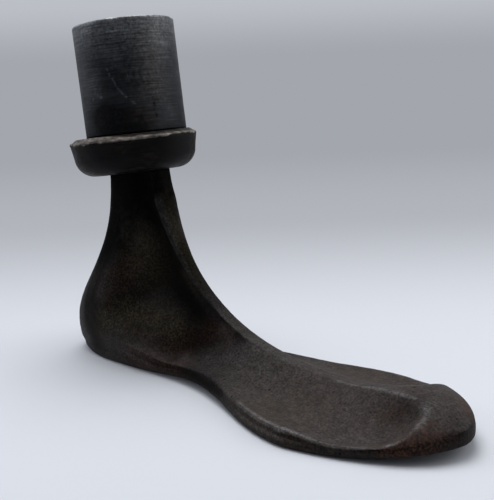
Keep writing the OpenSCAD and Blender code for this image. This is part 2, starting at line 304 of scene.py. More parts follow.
@dataclass(frozen=True)
class AgedMetal:
    """Finish of old iron or steel: a dark skin with patches, stains, worn edges, speckle, pits and grain,
    and layers that also carry painted light and shade.

    A size is that of a pattern's features. Edges and ranges are values of the noise that draws it.
    """

    name: str
    skin: str
    patch: str
    layers: tuple[Layer, ...]
    patch_size: float
    patch_cover: float
    mottle_size: float
    grain_size: float
    speckle: float
    blotch: float
    bump_depth: float
    pit_spacing: float
    roughness: Span
    specular: float
    grain_stretch: Place = (1.0, 1.0, 1.0)
    metallic: float = 0.0
    turned: bool = False
    pit: str = "#050404"
    pit_cover: float = 0.8
    pit_edge: Span = (0.04, 0.1)
    patch_edge: Span = (0.42, 0.68)
    mottle_edge: Span = (0.36, 0.62)
    fleck_edge: Span = (0.42, 0.6)
    shade_range: Span = (0.32, 0.68)
    gloss_range: Span = (0.3, 0.7)
    octaves: float = 4.0
    octave_gain: float = 0.62
    mottle_height: float = 0.8

    def dress(self, piece: bpy.types.Object) -> None:
        """Give a piece this finish."""
        piece.data.materials.clear()
        piece.data.materials.append(self._material())

    def _grain_place(self, tree: bpy.types.NodeTree, coords: Socket) -> Socket:
        """Add the coordinates of the grain.

        Args:
            tree: The node tree that gets the nodes.
            coords: The piece's own coordinates.

        Returns:
            Coordinates in which the grain is drawn out. On a turned piece its lines run round the top too.
        """
        along = coords
        if self.turned:
            flat = {0: coords, 1: (1.0, 1.0, 0.0)}
            spoke = add_node(tree, "ShaderNodeVectorMath", flat, operation="MULTIPLY").outputs["Vector"]
            radius = add_node(tree, "ShaderNodeVectorMath", {0: spoke}, operation="LENGTH").outputs["Value"]
            lift = add_node(tree, "ShaderNodeCombineXYZ", {"Z": radius}).outputs["Vector"]
            lifted = {0: coords, 1: lift}
            along = add_node(tree, "ShaderNodeVectorMath", lifted, operation="ADD").outputs["Vector"]
        stretch = {0: along, 1: self.grain_stretch}
        return add_node(tree, "ShaderNodeVectorMath", stretch, operation="MULTIPLY").outputs["Vector"]

    def _material(self) -> bpy.types.Material:
        """Make the material.

        Returns:
            A new material that reads the marks of its layers.
        """
        material = bpy.data.materials.new(self.name)
        tree = cleared_tree(material)
        coords = add_node(tree, "ShaderNodeTexCoord").outputs["Object"]
        octaves = {"Detail": self.octaves, "Roughness": self.octave_gain}
        patches, mottle, grain = (
            add_node(
                tree, "ShaderNodeTexNoise", {"Vector": place, "Scale": per_metre(size), **octaves}
            ).outputs["Fac"]
            for place, size in (
                (coords, self.patch_size),
                (coords, self.mottle_size),
                (self._grain_place(tree, coords), self.grain_size),
            )
        )
        pits = add_node(
            tree, "ShaderNodeTexVoronoi", {"Vector": coords, "Scale": per_metre(self.pit_spacing)}
        ).outputs["Distance"]
        patchy, broken, flecked, speckle, blotch, pitted, roughness = (
            add_node(
                tree,
                "ShaderNodeMapRange",
                {"Value": pattern, "From Min": low, "From Max": high, "To Min": start, "To Max": end},
            ).outputs["Result"]
            for pattern, (low, high), (start, end) in (
                (patches, self.patch_edge, (0.0, self.patch_cover)),
                (mottle, self.mottle_edge, (0.0, 1.0)),
                (grain, self.fleck_edge, (0.0, 1.0)),
                (grain, self.shade_range, (1.0 - self.speckle, 1.0 + self.speckle)),
                (mottle, self.shade_range, (1.0 - self.blotch, 1.0 + self.blotch)),
                (pits, self.pit_edge, (self.pit_cover, 0.0)),
                (mottle, self.gloss_range, self.roughness),
            )
        )
        covers = [(patchy, self.patch)]
        for layer in self.layers:
            strength = add_node(tree, "ShaderNodeAttribute", attribute_name=layer.mark.value).outputs["Fac"]
            shown = add_node(
                tree,
                "ShaderNodeMapRange",
                {
                    "Value": flecked if layer.flecks else broken,
                    "To Min": layer.cover * (1 - layer.broken),
                    "To Max": layer.cover,
                },
            ).outputs["Result"]
            factor = add_node(
                tree, "ShaderNodeMath", {0: strength, 1: shown}, operation="MULTIPLY"
            ).outputs["Value"]
            covers.append((factor, layer.colour))
            roughness = add_node(
                tree,
                "ShaderNodeMix",
                {NumberMix.FACTOR: factor, NumberMix.FIRST: roughness, NumberMix.SECOND: layer.roughness},
            ).outputs[NumberMix.RESULT]
        colour: Socket | Colour = linear(self.skin)
        for factor, cover in (*covers, (pitted, self.pit)):
            mix = {MixSocket.FACTOR: factor, MixSocket.FIRST: colour, MixSocket.SECOND: linear(cover)}
            colour = add_node(tree, "ShaderNodeMix", mix, data_type="RGBA").outputs[MixSocket.RESULT]
        for shade in (speckle, blotch):
            colour = add_node(
                tree, "ShaderNodeVectorMath", {0: colour, 1: shade}, operation="MULTIPLY"
            ).outputs["Vector"]
        skin = add_node(
            tree, "ShaderNodeMath", {0: mottle, 1: self.mottle_height, 2: grain}, operation="MULTIPLY_ADD"
        ).outputs["Value"]
        height = add_node(tree, "ShaderNodeMath", {0: skin, 1: pitted}, operation="SUBTRACT").outputs["Value"]
        normal = add_node(
            tree, "ShaderNodeBump", {"Height": height, "Distance": self.bump_depth * MM}
        ).outputs["Normal"]
        shader = add_node(
            tree,
            "ShaderNodeBsdfPrincipled",
            {
                "Base Color": colour,
                "Roughness": roughness,
                "Metallic": self.metallic,
                "Specular IOR Level": self.specular,
                "Normal": normal,
            },
        ).outputs["BSDF"]
        add_node(tree, "ShaderNodeOutputMaterial", {"Surface": shader})
        return material


# Grey iron, sand cast, long rusted and then rubbed dark with oil. It gives the eye a nearly black, sandy
# skin with a dull sheen at a low angle, brown and olive grime in patches and grey edges where it is handled.
# Painted highlights lie on its edges and lit faces, and painted shade beside the flange and under the collar.
# The sand's grain is about 0.3 mm in a real casting, and is drawn at 1 mm so that it shows.
RUSTED_CAST_IRON = AgedMetal(
    name="rusted_cast_iron",
    skin="#0d0b09",
    patch="#1b140e",
    layers=(
        # Dust on faces turned up, and painted light on lit faces and along the rim at the ball.
        Layer(Mark.DUST_AND_SHEEN, "#44403f", 0.56, 0.95, 0.25),
        Layer(Mark.OLIVE, "#3a3424", 0.75, 0.9, 0.8, flecks=True),
        Layer(Mark.RUST, "#432c20", 0.8, 0.9, 0.9, flecks=True),
        # Painted shade, near black, and a darker waist.
        Layer(Mark.SOOT_AND_SHADE, "#020201", 0.95, 1.0, 0.1),
        Layer(Mark.HOLLOW, "#060504", 0.8, 0.5, 0.3),
        # Grey worn edges, which also carry painted highlights.
        Layer(Mark.EDGE, "#7a7879", 0.38, 0.85, 0.35),
    ),
    patch_size=24.0,
    patch_cover=0.7,
    mottle_size=4.0,
    grain_size=1.0,
    speckle=0.5,
    blotch=0.12,
    bump_depth=0.14,
    pit_spacing=8.0,
    roughness=(0.46, 0.66),
    specular=0.05,
)

# Wrought iron ring, turned and then blackened by oil and soot. It gives the eye the darkest band of the
# object, with faint lines round it and a bare, dirty grey rim that a stand's socket has hammered ragged.
# The grey rim is painted too as a lit top face, and a painted highlight runs along its lower edge.
# The lines of turning are about 0.3 mm apart, and are drawn at 0.8 mm so that they show.
BLACKENED_IRON = AgedMetal(
    name="blackened_wrought_iron",
    skin="#030303",
    patch="#060505",
    layers=(
        Layer(Mark.RUST, "#1d1712", 0.8, 0.6, 0.7),
        # Bare grey rim, painted too as a lit top face.
        Layer(Mark.EDGE, "#827b74", 0.7, 0.9, 0.5),
        # Painted highlight along the lower edge.
        Layer(Mark.SCRATCH_AND_GLINT, "#3c3a3b", 0.4, 0.15, 0.9),
    ),
    patch_size=14.0,
    patch_cover=0.8,
    mottle_size=2.6,
    grain_size=0.8,
    speckle=0.75,
    blotch=0.3,
    bump_depth=0.09,
    pit_spacing=7.0,
    roughness=(0.4, 0.56),
    specular=0.08,
    grain_stretch=(0.12, 0.12, 1.0),
)

# Mild steel, turned on a lathe and dulled to a blue-grey skin. It gives the eye fine lines that run round
# it, a painted sheen at its sides and near its top, bare bright metal at its rim, and a dark foot that is
# partly grease and partly painted shade.
# A lathe's fine feed leaves lines about 0.2 mm apart, and they are drawn at 0.8 mm so that they show.
TURNED_STEEL = AgedMetal(
    name="turned_blue_grey_steel",
    skin="#24262a",
    patch="#444649",
    layers=(
        # Painted sheen down the lit sides.
        Layer(Mark.DUST_AND_SHEEN, "#5c5957", 0.5, 0.5, 0.3),
        # Grease, and painted shade low down.
        Layer(Mark.SOOT_AND_SHADE, "#020203", 0.75, 1.0, 0.15),
        Layer(Mark.RUST, "#2f2822", 0.7, 0.9, 0.6),
        # Bare metal at the rim, and a painted sheen near the top.
        Layer(Mark.EDGE, "#a2a4a5", 0.42, 0.8, 0.4),
        Layer(Mark.SCRATCH_AND_GLINT, "#8f8d8a", 0.4, 0.7, 0.6),
    ),
    patch_size=16.0,
    patch_cover=0.8,
    mottle_size=1.5,
    grain_size=0.8,
    speckle=0.54,
    blotch=0.3,
    bump_depth=0.05,
    pit_spacing=6.5,
    roughness=(0.4, 0.56),
    specular=0.2,
    grain_stretch=(0.06, 0.06, 1.0),
    metallic=0.5,
    turned=True,
)


def add_piece(name: str, mesh: bpy.types.Mesh, node: str, place: Matrix) -> bpy.types.Object:
    """Put a mesh in the scene in place of a node of the frame.

    Args:
        name: Name of the piece.
        mesh: Its mesh.
        node: The node that it stands for.
        place: Where the piece stands.

    Returns:
        The piece, riding on the one body.
    """
    mesh.shade_smooth()
    piece = bpy.data.objects.new(name, mesh)
    bpy.context.scene.collection.objects.link(piece)
    piece.matrix_world = place
    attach(piece, BODY)
    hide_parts(node)
    return piece


def near_path(
    points: np.ndarray, path: Path, reach: float, both_sides: bool, ragged: np.ndarray | float = 0.0
) -> np.ndarray:
    """Tell how near points are to a path on the casting.

    Args:
        points: Points in millimetres, one row each.
        path: Corners of the path, on the casting's right side.
        reach: How far from the path the result fades out.
        both_sides: Whether the path is also on the left side.
        ragged: By how much the path is nearer or further at each point, as a share.

    Returns:
        A value between 0 and 1 for each point, which is 1 on the path.
    """
    if both_sides:
        points = points * (1, 0, 1) - np.abs(points) * (0, 1, 0)
    return bump_round(gap_to_path(points, np.array(path)) * (1 + ragged), reach)


@dataclass(frozen=True)
class Rub:
    """A stretch of edge that shoes have rubbed round, on the right side of the casting or on both sides."""

    path: Path
    reach: float
    passes: int
    both_sides: bool = True


@dataclass(frozen=True)
class Daub:
    """A stain, or a patch of painted light or shade, at a place or along a path, on the right side of the
    casting or on both sides.

    A strength below 0 takes the mark away there.
    """

    mark: Mark
    path: Path
    reach: float
    strength: float = 1.0
    both_sides: bool = True

    def weight(self, points: np.ndarray, ragged: np.ndarray) -> np.ndarray:
        """Strength of the mark at each point, whose edge is nearer or further by a share."""
        return self.strength * near_path(points, self.path, self.reach, self.both_sides, ragged)


@dataclass
class LastCasting:
    """The cast foot, heel and leg, smoothed from its node and left uneven as a sand casting is."""

    node: str = "last_casting"
    slot: str = "cast_iron"
    finish: AgedMetal = RUSTED_CAST_IRON
    join_bend: float = 90.0
    join_skew: float = 180.0
    subdivisions: int = 2
    crease_angle: float = 60.0
    crease_above: float = 80.0
    swell: Ripple = Ripple(22.0, 3.1)
    swell_height: float = 0.18
    skin: Ripple = Ripple(3.5, 7.7)
    skin_height: float = 0.07
    rough_above: Span = (0.0, 2.0)
    # The front of the right scoop's rim, and the edge along the waist.
    rubs: tuple[Rub, ...] = (
        Rub(
            ((164, -1, 17), (169, -3, 16.5), (172, -7, 15.5), (173, -12, 13.5), (172, -18, 10)),
            5,
            32,
            both_sides=False,
        ),
        Rub(
            ((40, -19, 8), (50, -22, 7.5), (62, -24, 7), (72, -27, 6.5), (80, -29.5, 6), (90, -33, 5.5)),
            5,
            60,
        ),
    )
    relief_passes: int = 8
    relief_height: Span = (0.03, 0.09)
    rim_out: Span = (12.0, 18.0)
    rim_ahead: Span = (130.0, 150.0)
    rim_below: Span = (22.0, 14.0)
    sole_edge: Span = (4.0, 6.0)
    sole_edge_wear_and_glint: float = 0.15
    ball_start: Span = (70.0, 110.0)
    heel_wear_and_glint: float = 0.12
    leg_wear_and_glint: float = 0.12
    leg_wear_and_glint_below: Span = (86.0, 82.0)
    ragged_edge: Ripple = Ripple(3.0, 1.3)
    ragged_share: float = 0.3
    # Spans and shares of dust and painted light on faces turned up or forward, and of the paler sole band.
    dust_and_sheen_slope: Span = (0.42, 0.8)
    dust_and_light_below: Span = (90.0, 70.0)
    front_slope: Span = (0.5, 0.8)
    front_painted_light: float = 0.3
    front_shade_lift: float = 0.8
    band_below: Span = (5.5, 3.5)
    band_paler: float = 0.35
    stains_and_painted_light: tuple[Daub, ...] = (
        # Rust on the nose, in the scoop, along the waist, on the leg and in the hollow beside its flange.
        Daub(Mark.RUST, ((171, -23, 6), (177, -15, 11)), 8, 0.9),
        Daub(Mark.RUST, ((181, -8, 10), (183, 0, 11)), 6, 0.15),
        Daub(Mark.RUST, ((157, -6, 11),), 9, 0.5),
        Daub(Mark.RUST, ((125, -16, 6),), 30, 0.3),
        Daub(Mark.RUST, ((10, -25, 6), (38, -17, 7)), 8, 0.6),
        Daub(Mark.RUST, ((-7, -19, 46), (-14, -24, 36)), 9, 0.25),
        Daub(Mark.RUST, ((35, -11, 22), (46, -9, 20)), 7, 0.18),
        Daub(Mark.RUST, ((47, -6.5, 24), (57, -5.5, 23)), 6, 0.3),
        # Olive grime low on the heel, on the leg, along the flange and in the scoop.
        Daub(Mark.OLIVE, ((-12, -26, 21), (7, -19, 26), (28, -13, 23)), 8, 0.9),
        Daub(Mark.OLIVE, ((0, -12, 55),), 14, 0.8),
        Daub(Mark.OLIVE, ((10, -1, 80), (15, -2, 69), (21, -3, 57), (33, -2, 44)), 6, 0.6),
        Daub(Mark.OLIVE, ((110, -30, 7),), 26, 0.4),
        # Paler on the heel's wall and the leg; less on the nose and down the flange to the instep;
        # a painted highlight along the ball's rounded rim; painted light on the flange's lit front,
        # and below it at the instep.
        Daub(Mark.DUST_AND_SHEEN, ((-10, -28, 9), (18, -23, 11)), 8, 0.6),
        Daub(Mark.DUST_AND_SHEEN, ((-3, -12, 62), (-1, -13, 52)), 9, 0.2),
        Daub(Mark.DUST_AND_SHEEN, ((182, -2, 13),), 8, -0.25),
        Daub(Mark.DUST_AND_SHEEN, ((21, -1, 57), (34, -2, 43), (42, -2.5, 36), (57, -2.5, 27), (66, -2, 24)), 6, -0.6),
        Daub(Mark.DUST_AND_SHEEN, ((84, -31, 8), (98, -36, 7.5), (112, -39.5, 7.5), (122, -41, 7)), 4, 0.6),
        Daub(Mark.DUST_AND_SHEEN, ((55, -5.2, 23.5), (62, -5, 22), (68, -5, 21)), 6, 0.5),
        Daub(
            Mark.DUST_AND_SHEEN,
            ((28, -3.6, 44), (34, -3.8, 38), (42, -4, 32.5), (50, -4, 28.5), (58, -4, 25)),
            2.8,
            0.45,
        ),
        # Painted shade at the scoop's end under its rim, under the collar at the neck, down the back of
        # the leg and in the hollow beside the flange, whose inner edge is left lighter; a darker patch along
        # the waist.
        Daub(Mark.SOOT_AND_SHADE, ((161, -3, 13),), 7, 0.4),
        Daub(Mark.SOOT_AND_SHADE, ((50, -18, 10), (66, -22, 9)), 11, 0.45),
        Daub(Mark.SOOT_AND_SHADE, ((-6, -10, 92),), 20),
        Daub(Mark.SOOT_AND_SHADE, ((-24, -12, 90), (-27, -16, 62)), 13, 0.85),
        Daub(Mark.SOOT_AND_SHADE, ((-26, -18, 52), (-15, -18, 60)), 12, 0.5),
        Daub(Mark.SOOT_AND_SHADE, ((10, -7, 76), (18, -6, 60), (27, -7, 45), (37, -9, 32)), 11),
        Daub(Mark.SOOT_AND_SHADE, ((24, -3.5, 47), (34, -3.8, 38), (42, -4, 32.5), (50, -4, 28.5)), 3.2, -0.6),
        # Painted highlights on the spine and on the front of the right scoop's rim.
        Daub(
            Mark.EDGE, ((122, -0.8, 15), (144, -0.8, 17.3), (162, -0.8, 17.8)), 0.8, 0.5, both_sides=False
        ),
        Daub(
            Mark.EDGE,
            ((167, -2, 16.5), (171, -5, 16), (173, -10, 14.5), (173, -14, 12.5)),
            1.4,
            0.25,
            both_sides=False,
        ),
    )

    def build(self, frame: dict[str, Any]) -> bpy.types.Object:
        """Make the piece and dress it.

        Args:
            frame: The loaded frame.

        Returns:
            The casting's piece.
        """
        mesh = self._smoothed(frame["nodes"][self.node].data)
        self._round_edges(mesh)
        self._mark(mesh)
        self._roughen(mesh)
        piece = add_piece("last_casting_skin", mesh, self.node, Matrix.Identity(4))
        self.finish.dress(piece)
        return piece

    def _smoothed(self, source: bpy.types.Mesh) -> bpy.types.Mesh:
        """Join the node's triangles into quads and subdivide them.

        Args:
            source: The node's mesh, which stays as it is.

        Returns:
            A smooth mesh of the same form, with crisp edges at the shoulder.
        """
        cage = bpy.data.meshes.new("casting_cage")
        work = bmesh.new()
        work.from_mesh(source)
        bmesh.ops.remove_doubles(work, verts=work.verts, dist=SMALLEST * MM)
        bmesh.ops.join_triangles(
            work,
            faces=work.faces,
            angle_face_threshold=math.radians(self.join_bend),
            angle_shape_threshold=math.radians(self.join_skew),
        )
        crease = work.edges.layers.float.new("crease_edge")
        for edge in work.edges:
            high = edge.verts[0].co.z > self.crease_above * MM
            if high and edge.calc_face_angle(0.0) > math.radians(self.crease_angle):
                edge[crease] = 1.0
        work.to_mesh(cage)
        work.free()
        holder = bpy.data.objects.new("casting_cage", cage)
        bpy.context.scene.collection.objects.link(holder)
        smoothing = holder.modifiers.new("smooth", "SUBSURF")
        smoothing.levels = self.subdivisions
        evaluated = holder.evaluated_get(bpy.context.evaluated_depsgraph_get())
        smoothed = bpy.data.meshes.new_from_object(evaluated)
        bpy.data.objects.remove(holder)
        return smoothed

    def _round_edges(self, mesh: bpy.types.Mesh) -> None:
        """Round the edges that shoes have rubbed.

        Args:
            mesh: The smooth mesh, whose points move.
        """
        for rub in self.rubs:
            points = points_of(mesh)
            near = near_path(points, rub.path, rub.reach, rub.both_sides)
            move_points(mesh, points + (smoothed_points(mesh, rub.passes) - points) * near[:, None])

    def _roughen(self, mesh: bpy.types.Mesh) -> None:
        """Give the surface the slow swell and the sandy skin of a casting, always inward, with a flat sole.

        Args:
            mesh: The smooth mesh, whose points move but stay inside its box.
        """
        points = points_of(mesh)
        uneven = self.swell_height * self.swell.at(points) + self.skin_height * self.skin.at(points)
        inward = np.abs(uneven) * ramp(points[:, 2], self.rough_above)
        rough = points - normals_of(mesh) * inward[:, None]
        move_points(mesh, np.clip(rough, points.min(axis=0), points.max(axis=0)))

    def _mark(self, mesh: bpy.types.Mesh) -> None:
        """Store where the casting is worn, hollow and stained, and its painted light and shade.

        Args:
            mesh: The smooth mesh, which gets the marks.
        """
        height, points, normals = relief(mesh, self.relief_passes), points_of(mesh), normals_of(mesh)
        ragged = self.ragged_share * self.ragged_edge.at(points)
        marks = {
            mark: sum(daub.weight(points, ragged) for daub in self.stains_and_painted_light if daub.mark is mark)
            for mark in (Mark.RUST, Mark.OLIVE, Mark.SOOT_AND_SHADE, Mark.DUST_AND_SHEEN, Mark.EDGE)
        }
        marks[Mark.HOLLOW] = ramp(-height, self.relief_height)
        # Ridges are grey where worn, and carry painted highlights.
        marks[Mark.EDGE] += ramp(height, self.relief_height) * self._edge_wear_and_glint(points)
        # Faces turned up get dust and painted light; faces turned forward low on the leg get painted light
        # and lose painted shade; the sole's bottom band is made paler.
        upward, ahead = ramp(normals[:, 2], self.dust_and_sheen_slope), ramp(normals[:, 0], self.front_slope)
        below = ramp(points[:, 2], self.dust_and_light_below)
        flange = ahead * (1 - upward) * below
        band = self.band_paler * ramp(points[:, 2], self.band_below)
        marks[Mark.DUST_AND_SHEEN] += upward * below + self.front_painted_light * flange + band
        marks[Mark.SOOT_AND_SHADE] *= 1 - self.front_shade_lift * flange
        for mark, values in marks.items():
            set_mark(mesh, mark, values)

    def _edge_wear_and_glint(self, points: np.ndarray) -> np.ndarray:
        """Tell how much edge wear and painted highlight there is: most along the sole and round the nose.

        Args:
            points: Points in millimetres, one row each.

        Returns:
            A value between 0 and 1 for each point.
        """
        along, across, up = points.T
        rim = np.maximum(ramp(np.abs(across), self.rim_out), ramp(along, self.rim_ahead))
        rim *= ramp(up, self.rim_below)
        rim *= np.maximum(ramp(up, self.sole_edge), self.sole_edge_wear_and_glint)
        rim *= np.maximum(ramp(along, self.ball_start), self.heel_wear_and_glint)
        leg = self.leg_wear_and_glint * ramp(up, self.leg_wear_and_glint_below)
        return leg + (1 - leg) * rim


@dataclass(frozen=True)
class Ring:
    """One ring of a turned piece: its radius, its height and how far its middle lies behind the axis."""

    radius: float
    height: float
    offset: float = 0.0


def turned_mesh(name: str, rings: list[Ring], segments: int) -> bpy.types.Mesh:
    """Make a closed mesh from rings round an upright axis.

    Args:
        name: Name of the mesh.
        rings: The rings in order. The last joins the first.
        segments: Number of points in a ring.

    Returns:
        The mesh.
    """
    turns = np.linspace(0, 2 * math.pi, segments, endpoint=False)
    outward = np.stack([np.cos(turns), np.sin(turns), np.zeros(segments)], axis=1)
    points = np.concatenate([outward * ring.radius + (-ring.offset, 0, ring.height) for ring in rings])
    faces = []
    for row in range(len(rings)):
        below, above = row * segments, (row + 1) % len(rings) * segments
        for step in range(segments):
            after = (step + 1) % segments
            faces.append((below + step, below + after, above + after, above + step))
    mesh = bpy.data.meshes.new(name)
    mesh.from_pydata((points * MM).tolist(), [], faces)
    mesh.update()
    return mesh


def push_out(mesh: bpy.types.Mesh, amount: np.ndarray, offset: float = 0.0) -> None:
    """Move the points of a turned mesh away from its axis.

    Args:
        mesh: The mesh.
        amount: How far each point moves. Below 0 it moves towards the axis.
        offset: How far the axis lies behind the mesh's own origin.
    """
    points = points_of(mesh)
    spokes = points * (1, 1, 0) + (offset, 0, 0)
    lengths = np.maximum(np.linalg.norm(spokes, axis=1), SMALLEST)
    move_points(mesh, points + spokes / lengths[:, None] * amount[:, None])


def stepped(start: float, end: float, step: float) -> np.ndarray:
    """Evenly spaced values from start to end, about a step apart."""
    return np.linspace(start, end, max(2, round(abs(end - start) / step) + 1))


@dataclass
class Collar:
    """The ring on the leg's shoulder, with a rounded lower edge and a rim that blows have spread."""

    node: str = "collar"
    slot: str = "collar_iron"
    finish: AgedMetal = BLACKENED_IRON
    rim_diameter: float = 65.0
    foot_diameter: float = 62.0
    height: float = 19.5
    fall: float = 1.5
    seat_diameter: float = 50.8
    lower_edge: float = 10.0
    offset: float = 3.5
    bore_diameter: float = 18.1
    bore_land: float = 1.0
    rim_round: float = 1.2
    rim_steps: int = 5
    ring_step: float = 0.6
    under_step: float = 1.2
    segments: int = 320
    beaten_fall: float = 1.2
    beaten_turn: float = -36.0
    beaten_width: float = 8.0
    beaten_power: int = 3
    fine_burrs: Ripple = Ripple(3.2, 11.3)
    coarse_burrs: Ripple = Ripple(9.6, 6.1)
    burr_stretch: Place = (1.0, 1.0, 0.2)
    burr_reach: float = 0.5
    burr_drop: float = 0.6
    burr_height: float = 1.0
    burr_width: float = 3.0
    dents: Ripple = Ripple(7.0, 5.2)
    dent_depth: float = 0.2
    # A grey band at the rim: bare metal, painted too as the lit top face.
    bare_and_lit_depth: float = 0.9
    bare_and_lit_fineness: float = 0.6
    bare_and_lit_rise: float = 0.2
    bare_and_lit_fade: float = 0.5
    # Dark next to the spigot, in front and behind: grease and painted shade.
    grease_and_shade_reach: float = 2.6
    grease_and_shade_spread: float = 1.2
    grease_and_shade_wander: float = 1.2
    grease_and_shade_fade: float = 0.8
    grease_and_shade_cover: float = 0.9
    grease_and_shade_front: Span = (-0.5, 0.5)
    grease_and_shade_back: Span = (0.0, -1.0)
    # A painted highlight along the lower edge.
    lip_highlight_height: float = 1.4
    lip_highlight_reach: float = 1.2
    rust: Ripple = Ripple(11.0, 8.8)
    rust_strength: float = 1.5

    def build(self, seat: Matrix) -> bpy.types.Object:
        """Make the piece and dress it.

        Args:
            seat: Where the ring's underside is, with Z along the leg.

        Returns:
            The collar's piece.
        """
        mesh = turned_mesh("collar_ring", self._rings(), self.segments)
        self._mark(mesh)
        self._batter(mesh)
        piece = add_piece("collar_ring", mesh, self.node, seat)
        self.finish.dress(piece)
        return piece

    def _rings(self) -> list[Ring]:
        """List the rings of the collar.

        Returns:
            Rings from the bore, under the collar, up its wall and over its top back to the bore.
        """
        bore, rim, rim_height = self.bore_diameter / 2, self.rim_diameter / 2, self.height - self.fall
        middle = self.foot_diameter / 2 - self.lower_edge
        reach = math.hypot(rim - middle, rim_height - self.lower_edge)
        slant = math.atan2(rim_height - self.lower_edge, rim - middle)
        tangent = slant - math.acos(self.lower_edge / reach)
        foot = (middle + self.lower_edge * math.cos(tangent), self.lower_edge * (1 + math.sin(tangent)))
        inner = bore + self.offset + self.bore_land
        under = [Ring(r, 0, self.offset) for r in stepped(inner, middle, self.under_step)]
        edge = [
            Ring(middle + self.lower_edge * math.sin(a), self.lower_edge * (1 - math.cos(a)), self.offset)
            for a in stepped(0, math.pi / 2 + tangent, self.ring_step / self.lower_edge)[1:]
        ]
        top = rim_height - self.rim_round
        lean = (rim - foot[0]) / (rim_height - foot[1])
        wall = [
            Ring(foot[0] + lean * (z - foot[1]), z, self.offset)
            for z in stepped(foot[1], top, self.ring_step)[1:]
        ]
        face_radius, seat = wall[-1].radius - self.rim_round, self.seat_diameter / 2 + self.offset
        lip = [
            Ring(face_radius + self.rim_round * math.cos(a), top + self.rim_round * math.sin(a), self.offset)
            for a in np.linspace(0, math.pi / 2, self.rim_steps + 1)[1:]
        ]
        face = [
            Ring(r, self.height - self.fall * max(0.0, r - seat) / (face_radius - seat), self.offset)
            for r in stepped(face_radius, inner, self.ring_step)[1:]
        ]
        return [Ring(bore, 0), *under, *edge, *wall, *lip, *face, Ring(bore, self.height)]

    def _round_axis(self, points: np.ndarray) -> tuple[np.ndarray, np.ndarray]:
        """Place points about the ring's own axis.

        Args:
            points: Points in millimetres, one row each.

        Returns:
            The radius of each point, and from -1 to 1 how much it faces the beaten side.
        """
        across, side = points[:, 0] + self.offset, points[:, 1]
        turn = np.arctan2(side, across) - math.radians(self.beaten_turn)
        return np.hypot(across, side), np.cos(turn)

    def _outside(self, points: np.ndarray) -> np.ndarray:
        """Tell which points are on the outside: the lower edge, the wall, the rim or the ledge."""
        return self._round_axis(points)[0] > self.foot_diameter / 2 - self.lower_edge

    def _beaten(self, points: np.ndarray) -> np.ndarray:
        """How far the rim is beaten down at the turn of each point."""
        return self.beaten_fall * np.maximum(0, self._round_axis(points)[1])

    def _lowered(self, points: np.ndarray) -> np.ndarray:
        """Beat the rim down.

        Args:
            points: Points in millimetres, one row each.

        Returns:
            The moved points.
        """
        span = (self.foot_diameter / 2 - self.beaten_width, self.rim_diameter / 2)
        share = ramp(self._round_axis(points)[0], span)
        share *= ramp(points[:, 2], (0, self.height)) ** self.beaten_power
        return points - np.outer(share * self._beaten(points), (0, 0, 1))

    def _burrs(self, points: np.ndarray) -> tuple[np.ndarray, np.ndarray]:
        """Fine and coarse raggedness of the rim at each point."""
        drawn_out = points * self.burr_stretch
        return self.fine_burrs.at(drawn_out), self.coarse_burrs.at(drawn_out)

    def _batter(self, mesh: bpy.types.Mesh) -> None:
        """Beat the rim down, dent the wall and spread burrs along the rim.

        Args:
            mesh: The turned mesh, whose points move.
        """
        points = points_of(mesh)
        at_rim = self._round_axis(points)[0] > self.rim_diameter / 2 - self.burr_width
        burr_line = self.height - self.fall - self.burr_drop
        burrs = sum(self._burrs(points)) * bump_round(points[:, 2] - burr_line, self.burr_height) * at_rim
        dents = np.minimum(self.dents.at(points), 0) * self._outside(points)
        move_points(mesh, self._lowered(points))
        push_out(mesh, self.burr_reach * burrs + self.dent_depth * dents, self.offset)

    def _mark(self, mesh: bpy.types.Mesh) -> None:
        """Store where the metal is bare and rusty, and its painted light, shade and lower-edge highlight.

        Args:
            mesh: The turned mesh before it is beaten, which gets the marks.
        """
        points = points_of(mesh)
        outside, facing = self._outside(points), self._round_axis(points)[1]
        fine, coarse = self._burrs(points)
        # The grey band is bare metal, painted too as a lit top face; next to the spigot, in front and behind,
        # grease and painted shade keep it dark.
        bare_and_lit_down = self.bare_and_lit_depth * (self.bare_and_lit_fineness * fine + coarse - self.bare_and_lit_rise)
        bare_and_lit_above = self.height - self.fall - self._beaten(points) - self.rim_round - bare_and_lit_down
        ledge = np.hypot(points[:, 0], points[:, 1]) - self.seat_diameter / 2
        front, back = ramp(facing, self.grease_and_shade_front), ramp(facing, self.grease_and_shade_back)
        grease_and_shade_edge = self.grease_and_shade_reach * (1 + self.grease_and_shade_spread * back) + self.grease_and_shade_wander * coarse
        greasy_and_shaded = ramp(grease_and_shade_edge - ledge, (0, self.grease_and_shade_fade)) * np.maximum(front, back)
        bare_and_lit = ramp(self._lowered(points)[:, 2] - bare_and_lit_above, (0, self.bare_and_lit_fade))
        set_mark(mesh, Mark.EDGE, bare_and_lit * outside * (1 - self.grease_and_shade_cover * greasy_and_shaded))
        # A painted highlight along the lower edge.
        set_mark(mesh, Mark.SCRATCH_AND_GLINT, bump_round(points[:, 2] - self.lip_highlight_height, self.lip_highlight_reach) * outside)
        set_mark(mesh, Mark.RUST, self.rust_strength * self.rust.at(points) * outside)


@dataclass(frozen=True)
class Knock:
    """A dent in the spigot's wall, at a height over the collar and a turn about the axis."""

    height: float
    turn: float
    reach: float
    depth: float


